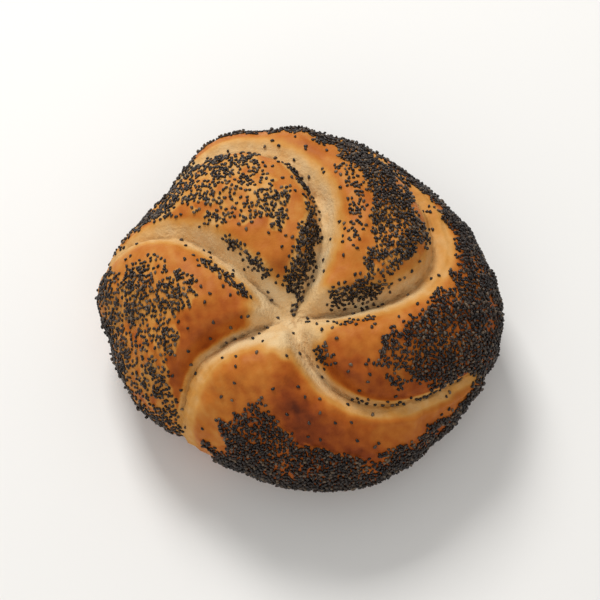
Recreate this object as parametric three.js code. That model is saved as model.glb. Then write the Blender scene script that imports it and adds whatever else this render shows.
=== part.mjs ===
// A kaiser roll, in millimetres. +Z is up and the origin is the middle of the flat base.
// It is one piece of baked dough: a ball that settled on the oven floor, with five curved
// cuts that meet in a star on top, run out over the side, and leave five risen lobes.
import * as THREE from 'three';

// The plain loaf, before the cuts.
const WIDTH = 115.3; // along X, before its sides are flattened
const DEPTH = 112.3; // along Y
const WAIST_HEIGHT = 19; // where the roll is widest
const DOME_RISE = 26; // from the waist to the top of the dome
const SAG = 24; // how far a free ball would hang below its waist, before the floor flattens it
const FULLNESS = 2.3; // exponent of the side's profile: 2 is an ellipse, and more is squarer
const FOOT_ROUNDING = 2; // height over which the side turns into the base

// Where the loaf is flatter than its ellipse: the direction and the angle that it spreads over, in
// degrees, and by how large a share of the radius.
const FLAT_SIDES = [
  { heading: 46, spread: 51, amount: 0.158 },
  { heading: 146, spread: 23, amount: 0.147 },
  { heading: 195, spread: 13, amount: 0.054 },
  { heading: 243, spread: 47, amount: 0.132 },
  { heading: 319, spread: 19, amount: 0.06 },
];

// The star, where the cuts meet, a little in front of the middle, and the shallow hollow round it.
const STAR = new THREE.Vector2(-2, -13);
const STAR_REACH = 0.95; // share of the radius over which the star's offset fades out
const STAR_DEPTH = 7;
const STAR_SIZE = 0.35; // share of the radius over which the star's depth turns into the cuts'
const HOLLOW = new THREE.Vector2(-4.5, -9.5); // the middle of the hollow
const HOLLOW_SIZE = 8;

// The cuts, anticlockwise. heading is the direction in which one leaves the star. It turns by drift,
// in step with its reach, and by sweep, by the power bend of its reach, all in degrees. before and
// after are how wide it is on its clockwise and its anticlockwise side. ridge is the edge of the
// stretched skin that runs along it: how far to its anticlockwise side and how high.
const CUTS = [
  { heading: -8, drift: 9, sweep: 114, bend: 6.5, depth: 5.6, before: 4.6, after: 3.4, ridge: [-2.1, 0.8] },
  { heading: 63, drift: 0, sweep: 83, bend: 2.6, depth: 5.4, before: 4.6, after: 2.7, ridge: [-3, 0.5] },
  { heading: 143, drift: 16, sweep: 12, bend: 3.7, depth: 4.6, before: 3.4, after: 3.6, ridge: [1.9, 0.6] },
  { heading: 208, drift: 0, sweep: 22, bend: 1.2, depth: 5.4, before: 2.4, after: 6.2, ridge: [2.8, 0.5] },
  { heading: 280, drift: 11.5, sweep: 46, bend: 6.5, depth: 5.2, before: 4.4, after: 2.5, ridge: [-4, 0.5] },
];
const CUT_DEPTH_AT_WAIST = 0.18; // as a share of its depth on top
const CUT_WIDTH_AT_STAR = 0.7; // as a share of its width further out
const CUT_WIDTH_AT_WAIST = 0.7;
const CUT_END = 0.85; // share of the way from the star to the middle of the base
const ROUTE_POINTS = 120;
const RIDGE_WIDTH = 1;

// The lobes.
const LOBE_RISE = 4.2; // at the crest
const LOBE_RISE_AT_WAIST = 1.1;
const LOBE_EDGE = 5; // distance from a cut over which a lobe swells
const FADE_HEIGHT = 9; // height above the base over which the cuts and lobes fade in

// The mesh. Its columns follow the cuts as far as FOLLOW_REACH, and then run straight down the side.
const COLUMNS_PER_LOBE = 24;
const COLUMNS = COLUMNS_PER_LOBE * CUTS.length;
const CROWDING = 0.4; // how much the columns crowd towards the cuts
const FOLLOW_REACH = 0.8;
const ROWS = 50;
const ROWS_ABOVE_WAIST = 34;
const BASE_EDGE = 0.55; // where the flat base starts, as a share of the radius

const HALF_TURN = Math.PI / 2;
const { degToRad, euclideanModulo, smoothstep, lerp } = THREE.MathUtils;

// The share of the plain radius that the flatter sides leave.
function roundness(direction, radiusShare) {
  let share = 1;
  for (const { heading, spread, amount } of FLAT_SIDES) {
    const turn = euclideanModulo(direction - degToRad(heading) + Math.PI, 2 * Math.PI) - Math.PI;
    share -= amount * Math.exp(-((turn / degToRad(spread)) ** 2));
  }
  return lerp(1, share, smoothstep(radiusShare, 0.2, 1));
}

// A point of the loaf before its cuts and its normal. tilt is 0 at the star and half a turn at the
// middle of the base. Below the floor the loaf still hangs free.
function plainLoaf(direction, tilt) {
  const upper = tilt <= HALF_TURN;
  const radiusShare = Math.abs(Math.sin(tilt)) ** (2 / FULLNESS);
  const offset = upper ? 1 - smoothstep(radiusShare, 0, STAR_REACH) : 0;
  const width = WIDTH * roundness(direction, radiusShare);
  const depth = DEPTH * roundness(direction, radiusShare);
  const x = (radiusShare * width * Math.cos(direction)) / 2 + STAR.x * offset;
  const y = (radiusShare * depth * Math.sin(direction)) / 2 + STAR.y * offset;
  const outShare = upper ? Math.min(1, Math.hypot((2 * x) / width, (2 * y) / depth)) : radiusShare;
  const heightShare = Math.max(0, 1 - outShare ** FULLNESS) ** (1 / FULLNESS);
  const steep = outShare ** (FULLNESS - 2);
  return {
    place: new THREE.Vector3(x, y, WAIST_HEIGHT + (upper ? DOME_RISE : -SAG) * heightShare),
    normal: new THREE.Vector3(
      (steep * x) / (width / 2) ** 2,
      (steep * y) / (depth / 2) ** 2,
      (upper ? 1 / DOME_RISE : -1 / SAG) * heightShare ** (FULLNESS - 1),
    ).normalize(),
  };
}

// How far out from the star a tilt is, from 0 to 1 at the waist and below it.
function reachOf(tilt) {
  return tilt < HALF_TURN ? Math.sin(tilt) ** (2 / FULLNESS) : 1;
}

// The direction in which a cut lies, in radians.
function cutDirection(cut, reach) {
  return degToRad(cut.heading + cut.drift * reach + cut.sweep * reach ** cut.bend);
}

// Points along the middle of a cut, from the star over the waist and down to the base.
function cutRoute(cut) {
  return Array.from({ length: ROUTE_POINTS }, (_, index) => {
    const tilt = lerp(0.002, CUT_END * Math.PI, index / (ROUTE_POINTS - 1));
    return plainLoaf(cutDirection(cut, reachOf(tilt)), tilt).place;
  });
}

const ROUTES = CUTS.map(cutRoute);

function distanceToRoute(place, route) {
  const segment = new THREE.Line3();
  const nearest = new THREE.Vector3();
  let best = Infinity;
  for (let i = 1; i < route.length; i++) {
    segment.set(route[i - 1], route[i]).closestPointToPoint(place, true, nearest);
    best = Math.min(best, nearest.distanceTo(place));
  }
  return best;
}

// How far a cut lowers the surface at this distance from it, from 0 to 1.
function valley(cut, distance, reach) {
  const full = distance < 0 ? cut.before : cut.after;
  const power = 1.2 + full / 4; // a narrow wall is steep, and a wide shelf is flat with a soft edge
  const atStar = lerp(CUT_WIDTH_AT_STAR, 1, smoothstep(reach, 0, 0.4));
  const atWaist = lerp(1, CUT_WIDTH_AT_WAIST, smoothstep(reach, 0.7, 1));
  return Math.exp(-((Math.abs(distance) / (full * atStar * atWaist)) ** power));
}

function ridgeHeight(cut, distance, reach) {
  const [away, height] = cut.ridge;
  return height * Math.exp(-(((distance - away) / RIDGE_WIDTH) ** 2)) * smoothstep(reach, 0.08, 0.3);
}

// How deep a cut of this depth is: the star's depth at the star, and shallower at the side.
function depthAt(depth, reach, below) {
  const onTop = lerp(STAR_DEPTH, depth, smoothstep(reach, 0, STAR_SIZE));
  return onTop * lerp(1, CUT_DEPTH_AT_WAIST, smoothstep(reach, 0.45, 1)) * (1 - 0.4 * below);
}

// How far the lobes and cuts move the plain loaf's surface outwards.
function relief(place, direction, reach, below) {
  const turns = CUTS.map((cut) => euclideanModulo(direction - cutDirection(cut, reach), 2 * Math.PI));
  const gaps = ROUTES.map((route) => distanceToRoute(place, route));
  const fromHollow = Math.hypot(place.x - HOLLOW.x, place.y - HOLLOW.y);
  const hollow = reach < 1 ? Math.exp(-((fromHollow / HOLLOW_SIZE) ** 4)) : 0;
  let uncut = 1 - hollow;
  let depth = 1e-9;
  let weights = 1e-9;
  let ridges = 0;
  CUTS.forEach((cut, index) => {
    const distance = turns[index] < Math.PI ? gaps[index] : -gaps[index];
    const weight = valley(cut, distance, reach);
    uncut *= 1 - weight;
    depth += cut.depth * weight;
    weights += weight;
    ridges += ridgeHeight(cut, distance, reach);
  });
  const lobe = turns.indexOf(Math.min(...turns));
  const swell =
    (1 - Math.exp(-gaps[lobe] / LOBE_EDGE)) * (1 - Math.exp(-gaps[(lobe + 1) % CUTS.length] / LOBE_EDGE));
  const rise = lerp(LOBE_RISE, LOBE_RISE_AT_WAIST, smoothstep(reach, 0.5, 1)) * swell;
  return rise + ridges - depthAt(depth / weights, reach, below) * (1 - uncut);
}

// A height that meets the floor in a small rounding and is exactly 0 below it.
function aboveFloor(height) {
  if (height >= FOOT_ROUNDING) return height;
  if (height <= -FOOT_ROUNDING) return 0;
  return (height + FOOT_ROUNDING) ** 2 / (4 * FOOT_ROUNDING);
}

function crustPoint(direction, tilt) {
  const { place, normal } = plainLoaf(direction, tilt);
  const below = tilt > HALF_TURN ? 1 - Math.sin(tilt) ** (2 / FULLNESS) : 0;
  const fade = smoothstep(place.z, 0, FADE_HEIGHT);
  if (fade > 0) place.addScaledVector(normal, fade * relief(place, direction, reachOf(tilt), below));
  place.z = aboveFloor(place.z);
  return place;
}

// The tilt of each row: evenly from the star to the waist, evenly on to the edge of the flat base,
// and then straight to its middle.
function rowTilt(row) {
  if (row === ROWS) return Math.PI;
  if (row <= ROWS_ABOVE_WAIST) return (row / ROWS_ABOVE_WAIST) * HALF_TURN;
  const baseEdge = Math.PI - Math.asin(BASE_EDGE ** (FULLNESS / 2));
  return lerp(HALF_TURN, baseEdge, (row - ROWS_ABOVE_WAIST) / (ROWS - 1 - ROWS_ABOVE_WAIST));
}

// The direction of a column at this reach, in radians.
function columnDirection(column, reach) {
  const follow = FOLLOW_REACH * Math.tanh((reach / FOLLOW_REACH) ** 4) ** 0.25;
  const lobe = Math.floor(column / COLUMNS_PER_LOBE);
  const next = (lobe + 1) % CUTS.length;
  const even = column / COLUMNS_PER_LOBE - lobe;
  const across = even - (CROWDING * Math.sin(2 * Math.PI * even)) / (2 * Math.PI);
  const start = cutDirection(CUTS[lobe], follow);
  const end = cutDirection(CUTS[next], follow) + (next === 0 ? 2 * Math.PI : 0);
  return lerp(start, end, across);
}

// The whole crust: a ball whose points are moved to their places.
function makeCrust() {
  const ball = new THREE.SphereGeometry(1, COLUMNS, ROWS);
  const position = ball.getAttribute('position');
  for (let i = 0; i < position.count; i++) {
    const column = (i % (COLUMNS + 1)) % COLUMNS;
    const row = Math.floor(i / (COLUMNS + 1));
    const tilt = rowTilt(row);
    const pole = row === 0 || row === ROWS;
    const place = crustPoint(pole ? 0 : columnDirection(column, reachOf(tilt)), tilt);
    position.setXYZ(i, place.x, place.y, place.z);
  }
  ball.computeVertexNormals();
  return ball;
}

const roll = new THREE.Mesh(
  makeCrust(),
  new THREE.MeshStandardMaterial({ color: 0xb06a2c, roughness: 0.55, metalness: 0 }),
);
roll.name = 'kaiser_roll';

const group = new THREE.Group();
group.add(roll);
export default group;
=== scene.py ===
"""A kaiser roll with poppy seeds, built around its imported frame.

It is one baked ball of dough with five curved cuts that meet in a star, and thousands of poppy
seeds lie on its lobes. Shapes are worked out in millimetres and turned to metres at the end.
"""

import math

import bpy
import numpy as np
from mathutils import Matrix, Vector


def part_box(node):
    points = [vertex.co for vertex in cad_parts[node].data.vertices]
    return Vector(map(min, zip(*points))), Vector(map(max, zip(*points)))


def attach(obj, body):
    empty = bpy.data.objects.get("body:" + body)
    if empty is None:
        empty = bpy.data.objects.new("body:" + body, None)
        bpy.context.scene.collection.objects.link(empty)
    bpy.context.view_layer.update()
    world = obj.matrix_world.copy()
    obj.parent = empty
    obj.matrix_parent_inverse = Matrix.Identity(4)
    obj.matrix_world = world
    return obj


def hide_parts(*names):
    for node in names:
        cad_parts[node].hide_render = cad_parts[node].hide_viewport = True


MM = 0.001
QUARTER_TURN = math.pi / 2
FULL_TURN = 2 * math.pi
MAP_NAME = "OFBake"  # the name of every piece's UV map

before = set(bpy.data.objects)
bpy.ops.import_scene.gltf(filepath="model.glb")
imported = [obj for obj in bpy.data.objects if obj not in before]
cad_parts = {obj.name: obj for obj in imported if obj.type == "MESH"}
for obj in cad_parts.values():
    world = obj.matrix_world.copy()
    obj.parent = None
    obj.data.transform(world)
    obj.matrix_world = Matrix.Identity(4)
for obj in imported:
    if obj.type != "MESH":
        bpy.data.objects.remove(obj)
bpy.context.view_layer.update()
frame_low, frame_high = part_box("kaiser_roll")

# ---------------------------------------------------------------- the plain loaf, before its cuts

LOBE_SWELL = 0.9  # how far the lobes stand out of the plain loaf at its waist, in mm
FLATTENED = 0.9427, 0.9249  # how wide and deep the loaf is once its sides are flattened, as a share
WIDTH = ((frame_high.x - frame_low.x) / MM - 2 * LOBE_SWELL) / FLATTENED[0]
DEPTH = ((frame_high.y - frame_low.y) / MM - 2 * LOBE_SWELL) / FLATTENED[1]
WAIST_HEIGHT = 19.0  # where the roll is widest
DOME_RISE = 26.0  # from the waist to the top of the plain dome
SAG = 24.0  # how far a free ball would hang below its waist, before the floor flattens it
FULLNESS = 2.3  # exponent of the side's profile: 2 is an ellipse, and more is squarer
FOOT_ROUNDING = 2.0  # height over which the side turns into the base
STAR = np.array([-2.0, -13.0])  # where the cuts meet, from the middle of the roll
STAR_REACH = 0.95  # share of the radius over which the star's offset fades out

# Where the loaf is flatter than its ellipse: the direction and the angle that it spreads over, in
# degrees, and by how large a share of the radius.
FLAT_SIDES = [
    dict(heading=46, spread=51, amount=0.158),
    dict(heading=146, spread=23, amount=0.147),
    dict(heading=195, spread=13, amount=0.054),
    dict(heading=243, spread=47, amount=0.132),
    dict(heading=319, spread=19, amount=0.060),
]
FLAT_FROM = 0.2, 1  # share of the radius over which the flattening grows to its whole amount

ROWS_ABOVE_WAIST = 0.72  # share of the ball's height angle that becomes the dome
WAVE_COUNT = 24
WAVE_LENGTHS = 0.7, 1.5  # the shortest and the longest wave of a pattern, as a share of its length
WAVE_PEAK = 1.5  # how high a pattern's peaks are, as a multiple of its root mean square


def smooth(value, low, high):
    """A soft step, from 0 at low and below it to 1 at high and above it."""
    share = np.clip((value - low) / (high - low), 0, 1)
    return share * share * (3 - 2 * share)


def mix(low, high, share):
    """From low where share is 0 to high where it is 1."""
    return low + (high - low) * share


def waves(places, length, seed):
    """A smooth random pattern from about -1 to 1, with waves of about this length."""
    rng = np.random.default_rng(seed)
    heading = rng.normal(size=(WAVE_COUNT, 3))
    heading /= np.linalg.norm(heading, axis=1)[:, None]
    pitch = FULL_TURN / (length * rng.uniform(*WAVE_LENGTHS, WAVE_COUNT))
    phase = rng.uniform(0, FULL_TURN, WAVE_COUNT)
    total = np.zeros(len(places))
    for direction, k, start in zip(heading, pitch, phase):
        total += np.sin(k * (places @ direction) + start)
    return total / math.sqrt(WAVE_COUNT / 2) / WAVE_PEAK


def relief(places, layers):
    """Adds up patterns, each given as its height, the length of its waves and its seed."""
    return sum(height * waves(places, length, seed) for height, length, seed in layers)


def roundness(direction, radius_share):
    """The share of the plain radius that the flatter sides leave."""
    share = 1.0
    for flat in FLAT_SIDES:
        turn = (direction - math.radians(flat["heading"]) + math.pi) % FULL_TURN - math.pi
        share = share - flat["amount"] * np.exp(-((turn / math.radians(flat["spread"])) ** 2))
    return mix(1, share, smooth(radius_share, *FLAT_FROM))


def plain_loaf(direction, tilt):
    """Points of the loaf before its cuts and their normals, in mm. tilt is 0 at the star and half a turn
    at the middle of the base. Below the floor the loaf still hangs free."""
    upper = tilt <= QUARTER_TURN
    radius_share = np.abs(np.sin(tilt)) ** (2 / FULLNESS)
    offset = np.where(upper, 1 - smooth(radius_share, 0, STAR_REACH), 0)
    width = WIDTH * roundness(direction, radius_share)
    depth = DEPTH * roundness(direction, radius_share)
    x = radius_share * width * np.cos(direction) / 2 + STAR[0] * offset
    y = radius_share * depth * np.sin(direction) / 2 + STAR[1] * offset
    out_share = np.where(upper, np.minimum(1, np.hypot(2 * x / width, 2 * y / depth)), radius_share)
    height_share = np.maximum(0, 1 - out_share**FULLNESS) ** (1 / FULLNESS)
    z = WAIST_HEIGHT + np.where(upper, DOME_RISE, -SAG) * height_share
    steep = out_share ** (FULLNESS - 2)
    rise = np.where(upper, 1 / DOME_RISE, -1 / SAG) * height_share ** (FULLNESS - 1)
    normal = np.stack([steep * x / (width / 2) ** 2, steep * y / (depth / 2) ** 2, rise], -1)
    return np.stack([x, y, z], -1), normal / np.linalg.norm(normal, axis=-1, keepdims=True)


def tilt_at(row):
    """The tilt of a point. row runs from 0 at the star to 1 at the middle of the base."""
    of_dome = row / ROWS_ABOVE_WAIST * QUARTER_TURN
    of_underside = math.pi - (1 - row) / (1 - ROWS_ABOVE_WAIST) * QUARTER_TURN
    return np.where(row < ROWS_ABOVE_WAIST, of_dome, of_underside)


def reach_of(tilt):
    """How far out from the star a tilt is, from 0 to 1 at the waist and below it."""
    return np.where(tilt < QUARTER_TURN, np.abs(np.sin(tilt)) ** (2 / FULLNESS), 1)


def above_floor(height):
    """A height that meets the floor in a small rounding and is exactly 0 below it."""
    r = FOOT_ROUNDING
    return np.where(height >= r, height, np.where(height <= -r, 0, (height + r) ** 2 / (4 * r)))


# ---------------------------------------------------------------- the cuts and the lobes

# The cuts, anticlockwise. heading is the direction in which one leaves the star. It turns by drift, in
# step with its reach, and by sweep, by the power bend of its reach, all in degrees. before and after
# are how wide it is on its clockwise and its anticlockwise side. ridge is the edge of the stretched
# skin that runs along it: how far to its anticlockwise side and how high. Lengths are in mm.
CUTS = [
    dict(heading=-8, drift=9, sweep=114, bend=6.5, depth=5.6, before=4.6, after=3.4, ridge=(-2.1, 0.8)),
    dict(heading=63, drift=0, sweep=83, bend=2.6, depth=5.4, before=4.6, after=2.7, ridge=(-3.0, 0.5)),
    dict(heading=143, drift=16, sweep=12, bend=3.7, depth=4.6, before=3.4, after=3.6, ridge=(1.9, 0.6)),
    dict(heading=208, drift=0, sweep=22, bend=1.2, depth=5.4, before=2.4, after=6.2, ridge=(2.8, 0.5)),
    dict(heading=280, drift=11.5, sweep=46, bend=6.5, depth=5.2, before=4.4, after=2.5, ridge=(-4.0, 0.5)),
]
LOBES = len(CUTS)
CUT_DEPTH_AT_WAIST = 0.18  # as a share of its depth on top
CUT_LOST_BELOW = 0.4  # share of its depth that a cut loses from the waist to the middle of the base
CUT_WIDTH_AT_STAR = 0.7  # as a share of its width further out
CUT_WIDTH_AT_WAIST = 0.7
CUT_EDGE = 1.2  # exponent of a cut's profile, before its width adds to it
CUT_EDGE_PER_MM = 0.25
RIDGE_WIDTH = 1.0
STAR_DEPTH = 7.0
STAR_SIZE = 0.35  # share of the radius over which the star's hollow turns into the cuts
HOLLOW = np.array([-4.5, -9.5])  # the middle of the shallow hollow that the star lies in
HOLLOW_SIZE = 8.0
HOLLOW_EDGE = 4  # exponent of its profile: more gives a sharper edge
LOBE_RISE = 4.2  # at the crest
LOBE_RISE_AT_WAIST = 1.1
LOBE_EDGE = 5.0  # distance from a cut over which a lobe swells, in mm
FADE_HEIGHT = 9.0  # height above the base over which the cuts and lobes fade in

# The reach at which each change begins and ends.
CUT_WIDENS = 0, 0.4
CUT_NARROWS = 0.7, 1
CUT_SHALLOWS = 0.45, 1
RIDGE_RISES = 0.08, 0.3
LOBE_LOWERS = 0.5, 1

ROUTE_TILTS = np.linspace(0.002, 0.85 * math.pi, 120)  # where a cut's route is worked out
FAR = 1e9  # further than any place, in mm
TINY = 1e-9  # keeps a division from being by 0


def cut_direction(cut, reach):
    """The direction in which a cut lies, in radians."""
    turned = cut["heading"] + cut["drift"] * reach + cut["sweep"] * reach ** cut["bend"]
    return np.radians(turned)


def cut_route(cut):
    """Points along the middle of a cut, from the star over the waist and down to the base, in mm."""
    return plain_loaf(cut_direction(cut, reach_of(ROUTE_TILTS)), ROUTE_TILTS)[0]


def nearest_on_route(places, route):
    """Each place's distance from a route, and how far along the route its nearest point is, in mm."""
    start, step = route[:-1], np.diff(route, axis=0)
    length = np.linalg.norm(step, axis=1)
    before = np.concatenate([[0], np.cumsum(length)[:-1]])
    best, along = np.full(len(places), FAR), np.zeros(len(places))
    for a, s, n, b in zip(start, step, length, before):
        share = np.clip((places - a) @ s / n**2, 0, 1)
        gap = np.linalg.norm(places - a - share[:, None] * s, axis=1)
        along = np.where(gap < best, b + share * n, along)
        best = np.minimum(best, gap)
    return best, along


def among_cuts(place, direction, reach):
    """Which lobe each place is on, its distance from each cut, which is below 0 on the clockwise side,
    and how far along each cut it lies, in mm."""
    turns = [(direction - cut_direction(cut, reach)) % FULL_TURN for cut in CUTS]
    gaps, alongs = zip(*[nearest_on_route(place, cut_route(cut)) for cut in CUTS])
    signed = [np.where(turn < math.pi, gap, -gap) for turn, gap in zip(turns, gaps)]
    return np.argmin(turns, axis=0), np.array(signed), np.array(alongs)


def beside(lobe, signed):
    """Each place's distance from the last cut before its lobe and from the next one after it, in mm."""
    gaps = np.abs(signed)
    return np.choose(lobe, gaps), np.choose((lobe + 1) % LOBES, gaps)


def valley(cut, distance, reach):
    """How far a cut lowers the surface at this distance from it, from 0 to 1. Its wide side is a shelf
    and its narrow side is a steep wall."""
    width = np.where(distance < 0, cut["before"], cut["after"])
    power = CUT_EDGE + width * CUT_EDGE_PER_MM
    width = width * mix(CUT_WIDTH_AT_STAR, 1, smooth(reach, *CUT_WIDENS))
    width = width * mix(1, CUT_WIDTH_AT_WAIST, smooth(reach, *CUT_NARROWS))
    return np.exp(-((np.abs(distance) / width) ** power))


def ridge(cut, distance, reach):
    """The height of the edge of the stretched skin along a cut, in mm."""
    away, height = cut["ridge"]
    return height * np.exp(-(((distance - away) / RIDGE_WIDTH) ** 2)) * smooth(reach, *RIDGE_RISES)


def depth_at(depth, reach, below):
    """How deep a cut of this depth is: it starts from the star's depth and is shallow at the waist."""
    on_top = mix(STAR_DEPTH, depth, smooth(reach, 0, STAR_SIZE))
    at_waist = mix(1, CUT_DEPTH_AT_WAIST, smooth(reach, *CUT_SHALLOWS))
    return on_top * at_waist * (1 - CUT_LOST_BELOW * below)


def lowered_by_cuts(place, signed, reach, below):
    """How far the cuts lower each place, in mm, and how much of it is cut, from 0 to 1."""
    weights = np.array([valley(cut, gap, reach) for cut, gap in zip(CUTS, signed)])
    from_hollow = np.hypot(*(place[:, :2] - HOLLOW).T)
    hollow = np.exp(-((from_hollow / HOLLOW_SIZE) ** HOLLOW_EDGE)) * (reach < 1)
    share = 1 - np.prod(1 - weights, axis=0) * (1 - hollow)
    depths = np.array([cut["depth"] for cut in CUTS])
    depth = (depths @ weights + TINY) / (np.sum(weights, axis=0) + TINY)
    ridges = sum(ridge(cut, gap, reach) for cut, gap in zip(CUTS, signed))
    return depth_at(depth, reach, below) * share - ridges, share


def raised_by_lobes(from_last, to_next, reach):
    """How far the risen lobes lift each place, in mm."""
    swell = (1 - np.exp(-from_last / LOBE_EDGE)) * (1 - np.exp(-to_next / LOBE_EDGE))
    return mix(LOBE_RISE, LOBE_RISE_AT_WAIST, smooth(reach, *LOBE_LOWERS)) * swell


def crust_points(direction, row):
    """Places the points of the crust, in mm, and says where each lies among the cuts. across runs from
    0 at the last cut to 1 at the next one."""
    tilt = tilt_at(row)
    reach = reach_of(tilt)
    below = np.where(tilt > QUARTER_TURN, 1 - np.sin(tilt) ** (2 / FULLNESS), 0)
    place, normal = plain_loaf(direction, tilt)
    lobe, signed, along = among_cuts(place, direction, reach)
    lowered, cut = lowered_by_cuts(place, signed, reach, below)
    from_last, to_next = beside(lobe, signed)
    raised = raised_by_lobes(from_last, to_next, reach)
    fade = smooth(place[:, 2], 0, FADE_HEIGHT)
    place = place + normal * (fade * (raised - lowered))[:, None]
    place[:, 2] = above_floor(place[:, 2])
    nearest = np.argmin(np.abs(signed), axis=0)
    points = np.arange(len(nearest))
    return dict(
        place=place,
        normal=normal,
        reach=reach,
        lobe=lobe,
        across=from_last / (from_last + to_next + TINY),
        cut=cut * fade,
        signed=signed,
        along=along,
        nearest=nearest,
        from_crease=signed[nearest, points],
        along_crease=along[nearest, points],
    )


# ---------------------------------------------------------------- the crust

CUBE_CUTS = 31, 3  # how often the edges of the cube that the crust starts from are cut, twice over

# Each pattern's height and the length of its waves, in mm, and its seed.
LUMPS = [(0.42, 15, 1), (0.16, 6, 2), (0.05, 2.6, 3)]  # of the risen dough
FOLDS = [(0.09, 2.2, 4), (0.14, 4.5, 5)]  # of the stretched dough in the cuts
STAR_FOLDS = [(0.4, 3.4, 7)]
STAR_FOLDS_REACH = 9  # how far from the star they go, in mm
CREASE_DEPTH = 0.5
CREASE_WIDTH = 0.55
CREASE_STARTS = 2, 7  # distance from the star over which a crease deepens, in mm
CREASE_PATTERN = 11, 6  # the length of the waves by which it comes and goes, in mm, and their seed
CREASE_TORN = -0.4, 0.3  # it is shut where that pattern is below the first, and open above the second
CREASES_APART = 9.0  # keeps each cut's pattern away from the others'
RELIEF_IN_CUT = 0.5, 0.9  # how much of a place has to be cut for it to have folds and creases
RELIEF_HEIGHTS = 1, 8  # height over which the relief fades in, in mm


def deselect_all():
    if bpy.context.mode != "OBJECT":
        bpy.ops.object.mode_set(mode="OBJECT")
    bpy.ops.object.select_all(action="DESELECT")


def vertex_array(mesh):
    found = np.empty(len(mesh.vertices) * 3, np.float32)
    mesh.vertices.foreach_get("co", found)
    return found.reshape(-1, 3).astype(float)


def triangle_array(mesh):
    """The numbers of each triangle's three vertices."""
    mesh.calc_loop_triangles()
    found = np.empty(len(mesh.loop_triangles) * 3, np.int32)
    mesh.loop_triangles.foreach_get("vertices", found)
    return found.reshape(-1, 3)


def store(mesh, name, values):
    """Stores one number for each vertex, for the materials to read."""
    attribute = mesh.attributes.new(name, "FLOAT", "POINT")
    attribute.data.foreach_set("value", np.ascontiguousarray(values, np.float32))


def fine_relief(found):
    """The unevenness of risen dough and the folds of the stretched dough in the cuts, in mm."""
    place, along = found["place"], found["along_crease"]
    on_crease = np.stack([along, 0 * along, CREASES_APART * found["nearest"]], 1)
    torn = smooth(waves(on_crease, *CREASE_PATTERN), *CREASE_TORN)
    crease = CREASE_DEPTH * torn * np.exp(-((found["from_crease"] / CREASE_WIDTH) ** 2))
    crease = crease * smooth(along, *CREASE_STARTS)
    star = relief(place, STAR_FOLDS) * np.exp(-((along / STAR_FOLDS_REACH) ** 2))
    in_cut = smooth(found["cut"], *RELIEF_IN_CUT) * (relief(place, FOLDS) - crease)
    return smooth(place[:, 2], *RELIEF_HEIGHTS) * (relief(place, LUMPS) + in_cut + star)


def make_crust():
    """A cube whose faces are cut into a grid and blown up to a ball, which the roll's shape then moves."""
    deselect_all()
    bpy.ops.mesh.primitive_cube_add(size=1)
    crust = bpy.context.object
    crust.name = crust.data.name = "kaiser_roll_crust"
    crust.data.uv_layers[0].name = MAP_NAME
    bpy.ops.object.mode_set(mode="EDIT")
    for cuts in CUBE_CUTS:
        bpy.ops.mesh.subdivide(number_cuts=cuts)
    bpy.ops.transform.tosphere(value=1)
    bpy.ops.object.mode_set(mode="OBJECT")
    ball = vertex_array(crust.data)
    ball /= np.linalg.norm(ball, axis=1)[:, None]
    row = np.arccos(np.clip(ball[:, 2], -1, 1)) / math.pi
    found = crust_points(np.arctan2(ball[:, 1], ball[:, 0]), row)
    found["place"] = found["place"] + found["normal"] * fine_relief(found)[:, None]
    found["place"][:, 2] = np.maximum(found["place"][:, 2], 0)
    crust.data.vertices.foreach_set("co", (found["place"] * MM).astype(np.float32).ravel())
    crust.data.update()
    bpy.ops.object.shade_smooth()
    return crust, found


# ---------------------------------------------------------------- where the seeds lie

# How each lobe was dipped in seeds and baked. Pairs are by the cut before it and by the cut after it:
# the reach at which the seeds start, and how dark the bare crust is baked, which on the right lobe's first
# and the left lobe's second is partly painted shade on a wall that faces away from the light. The seeds
# keep away from the last cut and from the next one by so many mm, where they start and at the waist.
# amount is seeds in each square mm, the number for its darker patch says how much darker that patch out
# towards the waist is, partly from deeper baking and partly as painted shade, and under is how dark it is
# baked under the seeds, which on the front lobe is partly painted shade between them.
LOBE_LOOKS = [
    dict(
        name="back_right",
        start=(0.38, 0.38),
        last=(6.5, 3),
        next=(13.5, 8),
        amount=2.1,
        brown=(0.60, 0.62),
        toast_and_shade=0.0,
        under=0.5,
    ),
    dict(
        name="back_left",
        start=(0.40, 0.40),
        last=(11.5, 0),
        next=(10, 2.5),
        amount=0.92,
        brown=(0.58, 0.65),
        toast_and_shade=0.0,
        under=0.32,
    ),
    dict(
        name="left",
        start=(0.42, 0.42),
        last=(12, 6),
        next=(13, 0.5),
        amount=0.92,
        # painted shade in part: the second brown is darker on the wall beside the cut after this lobe
        brown=(0.56, 0.75),
        toast_and_shade=0.0,
        under=0.44,
    ),
    dict(
        name="front",
        start=(0.66, 0.95),
        last=(20.5, 12),
        next=(18, 3.5),
        amount=2.7,
        brown=(0.60, 0.62),
        # painted shade in part: the darker patch out towards the waist, and the dark crust between the
        # seeds
        toast_and_shade=0.33,
        under=0.75,
    ),
    dict(
        name="right",
        start=(0.46, 0.46),
        last=(13, 0.5),
        next=(9, 3),
        amount=2.4,
        # painted shade in part: the first brown is darker on the wall beside the cut before this lobe
        brown=(0.80, 0.62),
        toast_and_shade=0.0,
        under=0.7,
    ),
]
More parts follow.
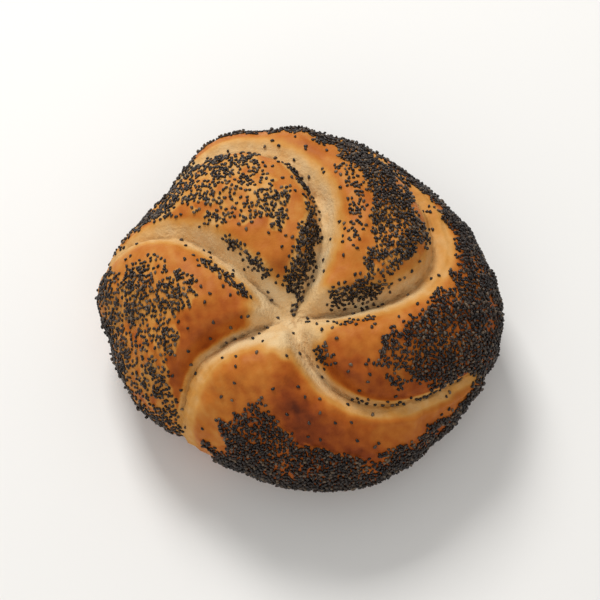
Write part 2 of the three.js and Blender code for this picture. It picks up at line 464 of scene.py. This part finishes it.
# Seeds gathered beside the cuts, in piles, in lines along the edges and where the cuts run out over the
# side: which cut, its anticlockwise side as 1 or its clockwise one as -1, how far along it they run,
# how far from it they lie and how far they spread, in mm, and how many lie in each square mm.
DRIFTS = [
    dict(cut=0, side=1, run=(10, 25), away=3.1, spread=1.3, amount=2.6),
    dict(cut=0, side=1, run=(17, 21), away=3.6, spread=1.8, amount=3.2),
    dict(cut=0, side=1, run=(24, 36), away=3.4, spread=0.5, amount=0.5),
    dict(cut=0, side=1, run=(73, 130), away=0, spread=4.5, amount=1.6),
    dict(cut=1, side=1, run=(6, 27), away=3.4, spread=1.9, amount=3.4),
    dict(cut=1, side=1, run=(28, 50), away=3.4, spread=1.2, amount=1.4),
    dict(cut=1, side=1, run=(0, 8), away=0.8, spread=0.8, amount=1.0),
    dict(cut=1, side=1, run=(19, 29), away=12, spread=1.7, amount=1.7),
    dict(cut=1, side=1, run=(80, 125), away=0, spread=4.0, amount=1.2),
    dict(cut=1, side=-1, run=(19, 42), away=8.8, spread=2.2, amount=0.9),
    dict(cut=2, side=-1, run=(29, 34), away=6.5, spread=1.5, amount=1.4),
    dict(cut=2, side=-1, run=(7, 26), away=3.6, spread=0.9, amount=2.0),
    dict(cut=2, side=1, run=(10, 27), away=5.2, spread=0.9, amount=2.0),
    dict(cut=4, side=1, run=(13, 19), away=3.5, spread=1.1, amount=2.6),
    dict(cut=0, side=-1, run=(7, 22), away=5.4, spread=0.8, amount=0.8),
    dict(cut=4, side=1, run=(30, 66), away=0.3, spread=0.4, amount=0.9),
    dict(cut=4, side=-1, run=(70, 110), away=1, spread=4.5, amount=1.8),
]
DRIFT_SETS_IN = -1.5, 2  # where a drift sets in, from the start of its run, in mm
DRIFT_LEAVES_OFF = -2, 2  # and where it leaves off, from the end of its run
DRIFT_PATTERN = 5, 14  # the length of the waves that thin it out, in mm, and their seed
DRIFT_THIN = -1.3, -0.1  # it is empty where that pattern is below the first, and full above the second
DRIFT_BELOW_WAIST = 0.45  # share of a drift that is left at the waist and below it
STRAYS = 0.012  # seeds in each square mm that lie anywhere on top
STRAYS_FROM = 20  # the height above which they lie, in mm
SEEDLESS_FOOT = 2.5, 9  # height over which the seeds set in, in mm

FIELD_WANDER = [(1.7, 9, 11), (1.3, 3.5, 12)]  # how far a field's edge wanders, in mm, as LUMPS is given
FIELD_EDGE = -1.2, 2.0  # distance over which a field sets in beside a cut, in mm
FIELD_START = -0.02, 0.03  # and towards the star, as reach
FIELD_START_WANDER = 0.02  # how much reach a mm of wander is
FIELD_START_TURNS = 0.42, 0.80  # how far across a lobe the first reach turns into the second
WHOLE_REACH = 1.001  # the waist's reach, and a little more to keep a division from being by 0
PATCH_PATTERN = 11, 13  # the length of the waves of a field's patches, in mm, and their seed
PATCH_EDGES = -0.7, 0.4  # a patch is thin where that pattern is below the first, and full above the second
PATCH_SHARES = 0.5, 1.1  # share of the seeds in a thin and in a full patch
PATCH_SPOTS = [(0.22, 3, 15)]  # what smaller spots add to that share
PATCH_LEAST = 0.1


def of_lobe(name, lobe):
    """What each place's lobe has under this name in LOBE_LOOKS."""
    return np.array([look[name] for look in LOBE_LOOKS])[lobe]


def in_field(found):
    """How far inside its lobe's field of seeds each place is, from 0 to 1."""
    lobe, reach = found["lobe"], found["reach"]
    from_last, to_next = beside(lobe, found["signed"])
    wander = relief(found["place"], FIELD_WANDER)
    start = mix(*of_lobe("start", lobe).T, smooth(found["across"], *FIELD_START_TURNS))
    out = np.clip((reach - start) / (WHOLE_REACH - start), 0, 1)
    inside = smooth(from_last - mix(*of_lobe("last", lobe).T, out) + wander, *FIELD_EDGE)
    inside = inside * smooth(to_next - mix(*of_lobe("next", lobe).T, out) + wander, *FIELD_EDGE)
    return inside * smooth(reach - start + FIELD_START_WANDER * wander, *FIELD_START)


def in_drift(found, drift):
    """How far inside a drift each place is, from 0 to 1. A drift has soft ends and thin spots."""
    first, last = drift["run"]
    along = found["along"][drift["cut"]]
    ends = smooth(along, first + DRIFT_SETS_IN[0], first + DRIFT_SETS_IN[1])
    ends = ends * smooth(-along, -last + DRIFT_LEAVES_OFF[0], -last + DRIFT_LEAVES_OFF[1])
    gap = found["signed"][drift["cut"]] * drift["side"]
    heap = np.exp(-(((gap - drift["away"]) / drift["spread"]) ** 2)) * ends
    full = smooth(waves(found["place"], *DRIFT_PATTERN), *DRIFT_THIN)
    return heap * full * np.where(found["reach"] < 1, 1, DRIFT_BELOW_WAIST)


def seed_amount(found):
    """How many seeds lie in each square mm of the crust at each vertex."""
    place = found["place"]
    patchy = mix(*PATCH_SHARES, smooth(waves(place, *PATCH_PATTERN), *PATCH_EDGES))
    patchy = np.maximum(patchy + relief(place, PATCH_SPOTS), PATCH_LEAST)
    amount = of_lobe("amount", found["lobe"]) * in_field(found) * patchy
    for drift in DRIFTS:
        amount = np.maximum(amount, drift["amount"] * in_drift(found, drift))
    amount = amount + STRAYS * (place[:, 2] > STRAYS_FROM)
    return amount * smooth(place[:, 2], *SEEDLESS_FOOT)


# ---------------------------------------------------------------- how deep the crust is baked, with some painted shade

# How far the pale stretched skin shows on the clockwise and the anticlockwise side of each cut, in mm.
# Near the star its anticlockwise side is spread to a multiple. At the waist the skin is narrowed to a
# share, and as dark as its tone.
PALE = [
    dict(before=4.2, after=3.4, spread=1.0, narrowed=0.75, tone=0.42),
    dict(before=4.4, after=2.0, spread=1.0, narrowed=0.75, tone=0.16),
    dict(before=4.0, after=3.4, spread=1.0, narrowed=0.75, tone=0.26),
    dict(before=1.0, after=4.8, spread=1.4, narrowed=0.85, tone=0.36),
    dict(before=3.6, after=1.5, spread=1.0, narrowed=0.6, tone=0.36),
]
PALE_WIDTH = 0.9  # share of those widths that shows on top
PALE_NARROWS = 0.6, 1  # the reach over which the skin is narrowed
PALE_SPREADS = 0.2, 0.6  # the reach over which its spread ends
PALE_EDGE = 2.2  # exponent of its edge: more is sharper
PALE_STAR = np.array([-2.5, -15.5])  # the middle of the pale skin round the star
PALE_STAR_SIZE = 10.5
PALE_STAR_EDGE = 5
PALE_STAR_WANDER = [(1.1, 6, 23)]  # by how many mm its edge wanders
PALE_HEIGHTS = 6, 16  # height over which the pale skin fades in, in mm

# Depths of baking, from 0 for cream to 1 for dark brown.
BAKED_AT_STAR = 0.08
BAKED_AT_RIM = 0.36  # where the pale skin turns into the browned crust
BAKED_AT_FOOT = 0.52
BAKED_MOTTLE = [(0.04, 9, 21), (0.03, 3, 22)]

SKIN_DARKENS = 0.4, 0.9  # the reach over which the pale skin takes its tone
SKIN_SHOWS = 0.3, 0.75  # how pale a place has to be for the skin to show
RIM_SHOWS = 0.01, 0.3  # and for the rim
BROWN_TURNS = 0.1, 0.8  # how far across a lobe the first brown turns into the second
UNDER_SEEDS = 0.1, 0.7  # seeds in each square mm over which the crust is baked as it is under them
UNDER_SHARE = 0.9  # how far it is, at the most
FOOT_HEIGHT = 6  # height over which the foot's baking ends, in mm
TOAST_AND_SHADE_ACROSS = 0.69  # where a lobe's darker patch of deeper baking and painted shade is, and how far it spreads
TOAST_AND_SHADE_ACROSS_SPREAD = 0.13
TOAST_AND_SHADE_REACH = 0.82
TOAST_AND_SHADE_REACH_SPREAD = 0.4
CREASE_SHOWS = -3, -1  # a crease and its painted shade may show within 3 mm of a cut's middle, and fully within 1 mm
CREASE_HEIGHTS = 8, 16  # height over which the creases fade in, in mm


def pale_skin(found):
    """How much of the pale stretched skin shows at each place, from 0 to 1."""
    reach, place = found["reach"], found["place"]
    from_star = np.hypot(*(place[:, :2] - PALE_STAR).T) + relief(place, PALE_STAR_WANDER)
    pale = np.exp(-((from_star / PALE_STAR_SIZE) ** PALE_STAR_EDGE)) * (reach < 1)
    for band, gap in zip(PALE, found["signed"]):
        width = np.where(gap < 0, band["before"], band["after"])
        width = width * mix(PALE_WIDTH, band["narrowed"], smooth(reach, *PALE_NARROWS))
        spread = mix(band["spread"], 1, smooth(reach, *PALE_SPREADS))
        width = width * np.where(gap < 0, 1, spread)
        pale = 1 - (1 - pale) * (1 - np.exp(-((np.abs(gap) / width) ** PALE_EDGE)))
    return pale * smooth(place[:, 2], *PALE_HEIGHTS)


def browned_and_shaded_crust(found, amount):
    """How deep the lobes are baked, where they are bare, in their darker patch and under the seeds, with
    painted shade in the front lobe's patch, on the walls of the right and left lobes and between the front
    lobe's seeds.
    """
    reach, lobe, across = found["reach"], found["lobe"], found["across"]
    brown = mix(*of_lobe("brown", lobe).T, smooth(across, *BROWN_TURNS))
    # the front lobe's darker patch, partly deeper baking and partly painted shade
    off_patch = ((across - TOAST_AND_SHADE_ACROSS) / TOAST_AND_SHADE_ACROSS_SPREAD) ** 2
    patch = np.exp(-off_patch - ((reach - TOAST_AND_SHADE_REACH) / TOAST_AND_SHADE_REACH_SPREAD) ** 2)
    brown = brown + of_lobe("toast_and_shade", lobe) * patch
    # under the seeds the front lobe is darker partly as painted shade
    return mix(brown, of_lobe("under", lobe), UNDER_SHARE * smooth(amount, *UNDER_SEEDS))


def bake_and_shade_depth(found, amount):
    """How deep the crust is baked, with some painted shade in it, from 0 for cream to 1 for dark brown."""
    place = found["place"]
    pale, bake_and_shade = pale_skin(found), browned_and_shaded_crust(found, amount)
    bake_and_shade = mix(bake_and_shade, np.minimum(bake_and_shade, BAKED_AT_RIM), smooth(pale, *RIM_SHOWS))
    tone = np.array([band["tone"] for band in PALE])[found["nearest"]]
    skin = mix(BAKED_AT_STAR, tone, smooth(found["reach"], *SKIN_DARKENS))
    bake_and_shade = mix(bake_and_shade, skin, smooth(pale, *SKIN_SHOWS))
    bake_and_shade = mix(BAKED_AT_FOOT, bake_and_shade, smooth(place[:, 2], 0, FOOT_HEIGHT))
    return bake_and_shade + relief(place, BAKED_MOTTLE)


def mark_crust(mesh, found, amount):
    """Stores what the crust's material reads: how deep it is baked, with painted shade in parts of the
    lobes, how far the middle of the nearest cut is, in mm, and how much of a crease and its painted shade
    may show, which is none near the base."""
    store(mesh, "bake_and_shade", bake_and_shade_depth(found, amount))
    store(mesh, "from_crease", found["from_crease"])
    close = smooth(-np.abs(found["from_crease"]), *CREASE_SHOWS)
    store(mesh, "near_crease", close * smooth(found["place"][:, 2], *CREASE_HEIGHTS))


# ---------------------------------------------------------------- the poppy seeds

SEED_SIZE = np.array([1.18, 0.84, 0.72])  # length, width and thickness of a seed, in mm
SEED_SIZES = 0.86, 1.08  # the smallest and the largest seed, as a share of that size
SEED_HOLLOW = 0.2  # how far the middle of a seed is pushed to one side, in mm
SEED_SUNK = 0.22  # share of its thickness that a seed is pressed into the crust
SEED_TIP = 0.18  # how far a seed tips off the crust, as a slope
SEED_MAP = 0.42, 0.8  # how wide and how high each half of a seed lies in its square of the map
MAP_MARGIN = 0.02  # share of the square that stays empty at its edges
LOWEST_SEED = 0.6  # seeds lower than this would touch the floor, in mm
SIDE_HEIGHT = 26.0  # seeds below this height belong to a lobe's side, and the others to its top

SCATTER = 7  # the number from which all that is random about the seeds is drawn
CANDIDATES = 110_000  # places tried for seeds
TRIES_PER_SEED = 1.9  # places tried in the first layer for each seed that belongs there
CLOSEST = 0.72  # about the least distance between two seeds of the first layer, in mm
SPACING = 0.8  # the share of that where one seed belongs in each square mm
SPACINGS = 0.95, 1.6  # the least and the most of it, where seeds lie dense and where they lie thin
FEWEST = 0.05  # seeds in each square mm

# A second layer lies on the first one where more than so many seeds belong in a square mm.
PILED_FROM = 0.9
PILED_SHARE = 0.35  # the share of places that it takes for each seed above that
PILED_GAP = 1.0  # the least distance between two of its seeds, in mm
PILED_RISE = 0.72  # how far above the first layer it lies, as a share of a seed's thickness
PILED_TIP = 0.3  # how much more its seeds tip
UPRIGHT = 0.9  # a seed whose up points at least this much up is turned by X, and any other by Z


def in_order(triangles):
    """The same triangles, each from its lowest corner on, and sorted. They may be numbered anew in each
    run, and this way every run gives the same mesh."""
    turned = (np.argmin(triangles, axis=1)[:, None] + np.arange(3)) % 3
    triangles = np.take_along_axis(triangles, turned, axis=1)
    return triangles[np.lexsort(triangles.T[::-1])]


def make_seed():
    """One seed, a small kidney, lying along X. Returns its corners and its triangles."""
    deselect_all()
    bpy.ops.mesh.primitive_uv_sphere_add(segments=8, ring_count=4, radius=0.5)
    seed = bpy.context.object
    bpy.ops.object.mode_set(mode="EDIT")
    bpy.ops.transform.rotate(value=QUARTER_TURN, orient_axis="Y", center_override=(0, 0, 0))
    bpy.ops.mesh.quads_convert_to_tris()
    bpy.ops.object.mode_set(mode="OBJECT")
    corners = vertex_array(seed.data)
    middle = 1 - (2 * corners[:, 0]) ** 2
    corners = corners * SEED_SIZE
    corners[:, 1] += SEED_HOLLOW * (middle - 0.5)
    triangles = np.array([list(face.vertices) for face in seed.data.polygons])
    bpy.data.objects.remove(seed)
    return corners, in_order(triangles)


def sample_crust(places, triangles, amount, rng):
    """Random places on the crust: each one's place, normal, how many seeds belong there and which
    triangle it is on, and how many seeds belong on the whole crust."""
    a, b, c = (places[triangles[:, k]] for k in range(3))
    cross = np.cross(b - a, c - a)
    area = np.linalg.norm(cross, axis=1) / 2
    weight = area * amount[triangles].mean(1)
    picked = rng.choice(len(area), CANDIDATES, p=weight / weight.sum())
    u, v = np.sqrt(rng.random(CANDIDATES)), rng.random(CANDIDATES)
    shares = np.stack([1 - u, u * (1 - v), u * v], 1)[:, :, None]
    place = (places[triangles[picked]] * shares).sum(1)
    wanted = (amount[triangles[picked]] * shares[:, :, 0]).sum(1)
    return place, cross[picked] / (2 * area[picked])[:, None], wanted, picked, weight.sum()


def keep_apart(places, gaps):
    """Picks places in turn, leaving out each that is closer than its gap to one already picked."""
    cells, kept = {}, []
    size = gaps.max()
    steps = [(i, j, k) for i in (-1, 0, 1) for j in (-1, 0, 1) for k in (-1, 0, 1)]
    grid = np.floor(places / size).astype(int)
    for n, (x, y, z) in enumerate(grid.tolist()):
        px, py, pz = places[n]
        limit = gaps[n] ** 2
        near = (q for i, j, k in steps for q in cells.get((x + i, y + j, z + k), ()))
        if all((px - a) ** 2 + (py - b) ** 2 + (pz - c) ** 2 >= limit for a, b, c in near):
            cells.setdefault((x, y, z), []).append((px, py, pz))
            kept.append(n)
    return np.array(kept, int)


def pick_layers(place, wanted, total, rng):
    """Picks the places of the first layer of seeds and of the second one that lies on it."""
    gap = CLOSEST * np.clip(SPACING / np.sqrt(np.maximum(wanted, FEWEST)), *SPACINGS)
    few = min(CANDIDATES, int(total * TRIES_PER_SEED))
    first = keep_apart(place[:few], gap[:few])
    rest = np.setdiff1d(np.arange(few, CANDIDATES), first)
    rest = rest[rng.random(len(rest)) < PILED_SHARE * (wanted[rest] - PILED_FROM)]
    return first, rest[keep_apart(place[rest], np.full(len(rest), PILED_GAP))]


def turned_to(normals, spin, tip):
    """Rotations that lay a seed on each normal, spun round it and tipped a little."""
    lean = normals + tip
    up = lean / np.linalg.norm(lean, axis=1)[:, None]
    side = np.cross(up, np.where(np.abs(up[:, 2:]) < UPRIGHT, [[0, 0, 1.0]], [[1.0, 0, 0]]))
    side /= np.linalg.norm(side, axis=1)[:, None]
    other = np.cross(up, side)
    c, s = np.cos(spin)[:, None], np.sin(spin)[:, None]
    return np.stack([c * side + s * other, c * other - s * side, up], 2)


def lay_seeds(crust, found, amount):
    """Where every seed lies: its place, rotation, size, lobe and shade."""
    rng = np.random.default_rng(SCATTER)
    places, triangles = vertex_array(crust.data) / MM, triangle_array(crust.data)
    place, normal, wanted, picked, total = sample_crust(places, triangles, amount, rng)
    first, second = pick_layers(place, wanted, total, rng)
    chosen = np.concatenate([first, second])
    layer = np.concatenate([np.zeros(len(first)), np.ones(len(second))])
    tip = rng.normal(size=(len(chosen), 3)) * (SEED_TIP + PILED_TIP * layer)[:, None]
    turn = turned_to(normal[chosen], rng.uniform(0, FULL_TURN, len(chosen)), tip)
    size = rng.uniform(*SEED_SIZES, len(chosen))
    height = SEED_SIZE[2] * (0.5 - SEED_SUNK + PILED_RISE * layer)
    spots = place[chosen] + normal[chosen] * (height * size)[:, None]
    lobe = found["lobe"][triangles[picked[chosen], 0]]
    shade = rng.random(len(chosen))
    above = spots[:, 2] > LOWEST_SEED
    return [values[above] for values in (spots, turn, size, lobe, shade)]


def seeds_map(corners, triangles, count):
    """Lays each seed's two halves side by side in a square of its own, on a grid of squares."""
    across = math.ceil(math.sqrt(count))
    flat = corners[triangles]
    under = flat[:, :, 2].mean(1) < 0
    u = 0.25 + SEED_MAP[0] * flat[:, :, 0] / SEED_SIZE[0] + 0.5 * under[:, None]
    v = 0.5 + SEED_MAP[1] * flat[:, :, 1] / SEED_SIZE[1]
    own = np.stack([u, v], -1).reshape(1, -1, 2)
    cell = np.stack([np.arange(count) % across, np.arange(count) // across], 1)[:, None]
    return (cell + np.clip(own, MAP_MARGIN, 1 - MAP_MARGIN)) / across


def make_seed_piece(name, seed, spots, turn, size, shade):
    """One mesh of copies of the seed, one at each spot."""
    corners, triangles = seed
    count = len(spots)
    points = np.einsum("nij,vj->nvi", turn * size[:, None, None], corners) + spots[:, None]
    points[:, :, 2] = np.maximum(points[:, :, 2], 0)
    faces = (triangles[None] + len(corners) * np.arange(count)[:, None, None]).reshape(-1, 3)
    mesh = bpy.data.meshes.new(name)
    mesh.vertices.add(count * len(corners))
    mesh.vertices.foreach_set("co", (points * MM).astype(np.float32).ravel())
    mesh.loops.add(faces.size)
    mesh.loops.foreach_set("vertex_index", faces.astype(np.int32).ravel())
    mesh.polygons.add(len(faces))
    mesh.polygons.foreach_set("loop_start", np.arange(0, faces.size, 3, dtype=np.int32))
    mesh.polygons.foreach_set("use_smooth", np.ones(len(faces), bool))
    mesh.update(calc_edges=True)
    store(mesh, "shade", np.repeat(shade, len(corners)))
    layer = mesh.uv_layers.new(name=MAP_NAME)
    layer.uv.foreach_set("vector", seeds_map(corners, triangles, count).astype(np.float32).ravel())
    piece = bpy.data.objects.new(name, mesh)
    bpy.context.collection.objects.link(piece)
    return piece


# ---------------------------------------------------------------- materials

CRUST_COLOURS = [
    (0.0, "#d8ba8c"),
    (0.2, "#d1a76e"),
    (0.4, "#c58a41"),
    (0.6, "#b56a24"),
    (0.75, "#a05015"),
    (0.88, "#7e360b"),
    (1.0, "#511e04"),
]
# painted shade: the darker brown that the thin crease line in the middle of a cut is mixed towards
CREASE_SHADE_COLOUR = "#96683a"
SEED_COLOURS = [(0.0, "#110a08"), (0.5, "#1f1510"), (0.82, "#3c2f26"), (1.0, "#685744")]


def linear(hex_code):
    """An sRGB colour such as #c8965a, made linear."""
    channels = [int(hex_code[i : i + 2], 16) / 255 for i in (1, 3, 5)]
    return [c / 12.92 if c <= 0.04045 else ((c + 0.055) / 1.055) ** 2.4 for c in channels] + [1]


def add(tree, kind, settings=None, stops=(), **links):
    """Adds a node. settings are its own properties, stops are its colours with their places, and links
    are values or sockets for its inputs: a name with _ for a space, or _ and the input's number."""
    node = tree.nodes.new(kind)
    for name, value in (settings or {}).items():
        setattr(node, name, value)
    while stops and len(node.color_ramp.elements) < len(stops):
        node.color_ramp.elements.new(0.5)
    for number, (place, colour) in enumerate(stops):
        node.color_ramp.elements[number].position = place
        node.color_ramp.elements[number].color = linear(colour)
    for name, value in links.items():
        socket = node.inputs[int(name[1:]) if name[0] == "_" else name.replace("_", " ")]
        if isinstance(value, bpy.types.NodeSocket):
            tree.links.new(value, socket)
        else:
            socket.default_value = value
    return node


def new_material(name):
    material = bpy.data.materials.new(name)
    material.use_nodes = True
    material.node_tree.nodes.clear()
    return material, material.node_tree


def mottled_bake(tree, where):
    """How deep the crust is baked, with its painted shade, mottled in spots of 6 mm and of 1.4 mm."""
    bake_and_shade = add(tree, "ShaderNodeAttribute", dict(attribute_name="bake_and_shade"))
    spots = add(tree, "ShaderNodeTexNoise", Vector=where, Scale=1 / (6.0 * MM), Detail=3.0)
    specks = add(tree, "ShaderNodeTexNoise", Vector=where, Scale=1 / (1.4 * MM), Detail=3.0)
    fine = add(
        tree,
        "ShaderNodeMath",
        dict(operation="MULTIPLY_ADD"),
        _0=specks.outputs["Fac"],
        _1=0.12,
        _2=-0.14,
    )
    mottled = add(
        tree,
        "ShaderNodeMath",
        dict(operation="MULTIPLY_ADD"),
        _0=spots.outputs["Fac"],
        _1=0.16,
        _2=fine.outputs["Value"],
    )
    mixed = add(
        tree,
        "ShaderNodeMath",
        dict(operation="ADD"),
        _0=bake_and_shade.outputs["Fac"],
        _1=mottled.outputs["Value"],
    )
    return mixed.outputs["Value"]


def crease_slit_and_shade(tree, where):
    """The thin crease in the middle of a cut, which wanders 0.8 mm either way and comes and goes: how much
    it darkens the colour there as painted shade, and how deep its slit is in the bump.
    """
    away = add(tree, "ShaderNodeAttribute", dict(attribute_name="from_crease"))
    near = add(tree, "ShaderNodeAttribute", dict(attribute_name="near_crease"))
    turns = add(tree, "ShaderNodeTexNoise", Vector=where, Scale=1 / (2.2 * MM), Detail=2.0)
    wander = add(
        tree,
        "ShaderNodeMath",
        dict(operation="MULTIPLY_ADD"),
        _0=turns.outputs["Fac"],
        _1=1.6,
        _2=-0.8,
    )
    moved = add(
        tree,
        "ShaderNodeMath",
        dict(operation="ADD"),
        _0=away.outputs["Fac"],
        _1=wander.outputs["Value"],
    )
    distance = add(tree, "ShaderNodeMath", dict(operation="ABSOLUTE"), _0=moved.outputs["Value"])
    line = add(
        tree,
        "ShaderNodeMapRange",
        Value=distance.outputs["Value"],
        From_Min=0.1,
        From_Max=0.7,
        To_Min=1.0,
        To_Max=0.0,
    )
    gaps = add(tree, "ShaderNodeTexNoise", Vector=where, Scale=1 / (7.0 * MM), Detail=1.0)
    torn = add(
        tree,
        "ShaderNodeMapRange",
        Value=gaps.outputs["Fac"],
        From_Min=0.4,
        From_Max=0.55,
        To_Min=0.0,
        To_Max=0.55,
    )
    shown = add(
        tree,
        "ShaderNodeMath",
        dict(operation="MULTIPLY"),
        _0=line.outputs["Result"],
        _1=near.outputs["Fac"],
    )
    # how much painted shade darkens the crease line, which also sinks its slit in the bump
    dark = add(
        tree,
        "ShaderNodeMath",
        dict(operation="MULTIPLY"),
        _0=shown.outputs["Value"],
        _1=torn.outputs["Result"],
    )
    return dark.outputs["Value"]


def crust_bumps(tree, where, baked, dark):
    """The crust's skin in grains of 0.7 mm, the torn crumb in the cuts in grains of 1.1 mm, and the
    creases. Where the crust is browned, the crumb is closed."""
    grain = add(tree, "ShaderNodeTexNoise", Vector=where, Scale=1 / (0.7 * MM), Detail=3.0)
    skin = add(
        tree,
        "ShaderNodeBump",
        Height=grain.outputs["Fac"],
        Strength=0.30,
        Distance=0.25 * MM,
    )
    closed = add(
        tree,
        "ShaderNodeMapRange",
        Value=baked,
        From_Min=0.15,
        From_Max=0.45,
        To_Min=0.8,
        To_Max=0.0,
    )
    holes = add(tree, "ShaderNodeTexNoise", Vector=where, Scale=1 / (1.1 * MM), Detail=4.0)
    crumb = add(
        tree,
        "ShaderNodeBump",
        Height=holes.outputs["Fac"],
        Strength=closed.outputs["Result"],
        Distance=0.5 * MM,
        Normal=skin.outputs["Normal"],
    )
    sunk = add(tree, "ShaderNodeMath", dict(operation="MULTIPLY"), _0=dark, _1=-1.0)
    slit = add(
        tree,
        "ShaderNodeBump",
        Height=sunk.outputs["Value"],
        Strength=0.8,
        Distance=0.5 * MM,
        Normal=crumb.outputs["Normal"],
    )
    return slit.outputs["Normal"]


def crust_material():
    """Wheat crust baked from cream in the cuts to brown on the lobes. It is thin and dry with a satin
    gloss where it browned, matt and rough in the cuts, and finely mottled. Part of the brown on the lobes
    and the darker line along each crease are painted shade."""
    material, tree = new_material("baked wheat crust")
    where = add(tree, "ShaderNodeTexCoord").outputs["Object"]
    baked = mottled_bake(tree, where)
    dark = crease_slit_and_shade(tree, where)
    ramp = add(tree, "ShaderNodeValToRGB", stops=CRUST_COLOURS, Fac=baked)
    # painted shade along each crease line: the colour is mixed towards a darker brown there
    colour = add(
        tree,
        "ShaderNodeMix",
        dict(data_type="RGBA"),
        _0=dark,
        _6=ramp.outputs["Color"],
        _7=linear(CREASE_SHADE_COLOUR),
    )
    rough = add(
        tree,
        "ShaderNodeMapRange",
        Value=baked,
        From_Min=0.1,
        From_Max=0.6,
        To_Min=0.78,
        To_Max=0.52,
    )
    surface = add(
        tree,
        "ShaderNodeBsdfPrincipled",
        Base_Color=colour.outputs[2],
        Roughness=rough.outputs["Result"],
        Normal=crust_bumps(tree, where, baked, dark),
        IOR=1.45,
        Specular_IOR_Level=0.16,
    )
    add(tree, "ShaderNodeOutputMaterial", Surface=surface.outputs["BSDF"])
    return material


def seed_material():
    """Poppy seed, slate black to brown from seed to seed, with a dull waxy sheen."""
    material, tree = new_material("poppy seed")
    shade = add(tree, "ShaderNodeAttribute", dict(attribute_name="shade"))
    ramp = add(tree, "ShaderNodeValToRGB", stops=SEED_COLOURS, Fac=shade.outputs["Fac"])
    surface = add(
        tree,
        "ShaderNodeBsdfPrincipled",
        Base_Color=ramp.outputs["Color"],
        Roughness=0.40,
        Specular_IOR_Level=0.36,
    )
    add(tree, "ShaderNodeOutputMaterial", Surface=surface.outputs["BSDF"])
    return material


# ---------------------------------------------------------------- floor, lights and camera

VIEW_HEIGHT = 64.0  # degrees above the horizon
VIEW_DISTANCE = 0.6  # in metres, as are the places of the lights
VIEW_TARGET = Vector((0, 0, 22 * MM))
LENS = 130.6  # in mm
NEAREST_SEEN = 0.01  # in metres
FLOOR_COLOUR = "#e9e7e3"
STUDIO_COLOUR = "#ffffff"
STUDIO_STRENGTH = 0.50


def make_floor():
    """A plain matt floor, painted a warm pale grey."""
    deselect_all()
    bpy.ops.mesh.primitive_plane_add(size=6)
    floor = bpy.context.object
    floor.name = "floor"
    material, tree = new_material("plain pale floor")
    surface = add(tree, "ShaderNodeBsdfPrincipled", Base_Color=linear(FLOOR_COLOUR), Roughness=0.8)
    add(tree, "ShaderNodeOutputMaterial", Surface=surface.outputs["BSDF"])
    floor.data.materials.append(material)


def add_light(name, place, size, watts):
    """A square light that faces the roll."""
    light = bpy.data.lights.new(name, "AREA")
    light.size = size
    light.energy = watts
    lamp = bpy.data.objects.new(name, light)
    bpy.context.collection.objects.link(lamp)
    lamp.location = place
    lamp.rotation_euler = (VIEW_TARGET - Vector(place)).to_track_quat("-Z", "Y").to_euler()


def light_scene():
    add_light("key", place=(-0.25, 0.65, 0.75), size=0.35, watts=7.7)
    add_light("fill", place=(-0.1, -0.7, 0.75), size=0.9, watts=2.4)
    world = bpy.data.worlds.new("studio")
    bpy.context.scene.world = world
    world.use_nodes = True
    background = world.node_tree.nodes["Background"]
    background.inputs["Color"].default_value = linear(STUDIO_COLOUR)
    background.inputs["Strength"].default_value = STUDIO_STRENGTH


def place_camera():
    camera = bpy.data.objects.new("camera", bpy.data.cameras.new("camera"))
    bpy.context.collection.objects.link(camera)
    slope = math.radians(VIEW_HEIGHT)
    away = Vector((0, -math.cos(slope), math.sin(slope)))
    camera.location = VIEW_TARGET + away * VIEW_DISTANCE
    camera.rotation_euler = (-away).to_track_quat("-Z", "Y").to_euler()
    camera.data.lens = LENS
    camera.data.clip_start = NEAREST_SEEN
    bpy.context.scene.camera = camera


# ---------------------------------------------------------------- the whole scene

crust, crust_field = make_crust()
amount = seed_amount(crust_field)
mark_crust(crust.data, crust_field, amount)
crust.data.materials.append(crust_material())
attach(crust, "root")
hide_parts("kaiser_roll")

seed = make_seed()
finish = seed_material()
spots, turn, size, lobe, shade = lay_seeds(crust, crust_field, amount)
for index, look in enumerate(LOBE_LOOKS):
    for part, there in (("top", spots[:, 2] >= SIDE_HEIGHT), ("side", spots[:, 2] < SIDE_HEIGHT)):
        own = (lobe == index) & there
        name = "poppy_seeds_" + look["name"] + "_" + part
        piece = make_seed_piece(name, seed, spots[own], turn[own], size[own], shade[own])
        piece.data.materials.append(finish)
        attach(piece, "root")

make_floor()
light_scene()
place_camera()
bpy.context.scene.view_settings.view_transform = "Standard"
